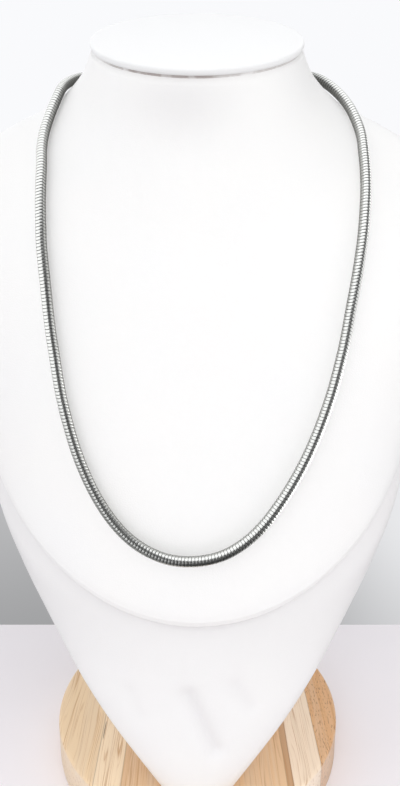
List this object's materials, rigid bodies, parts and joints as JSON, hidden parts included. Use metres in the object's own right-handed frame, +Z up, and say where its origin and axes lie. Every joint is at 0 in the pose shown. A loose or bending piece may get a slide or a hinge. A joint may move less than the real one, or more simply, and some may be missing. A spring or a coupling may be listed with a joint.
{
  "type": "snake chain necklace on a neck bust stand",
  "caption": "Round snake chain necklace with a barrel clasp, hung on a white leatherette neck bust that stands on a round wooden base.",
  "frame": {"origin": "centre of the wooden base's underside", "axes": "+Z up, -Y to the front of the necklace, +X to the right of someone who looks at the front"},
  "size_m": [0.1864, 0.13, 0.3216],
  "materials": {
    "snake_chain": "polished stainless steel, fine ribs across the chain",
    "clasp": "satin stainless steel",
    "bust_body": "matt white leatherette over a moulded core",
    "neck_cap": "matt white leatherette over a thin board",
    "wood_base": "edge-glued pale wood strips, clear matt lacquer"
  },
  "bodies": {
    "root": {"snake_chain": "snake_chain", "clasp": "clasp", "bust_body": "bust_body", "neck_cap": "neck_cap", "wood_base": "wood_base"}
  },
  "joints": []
}
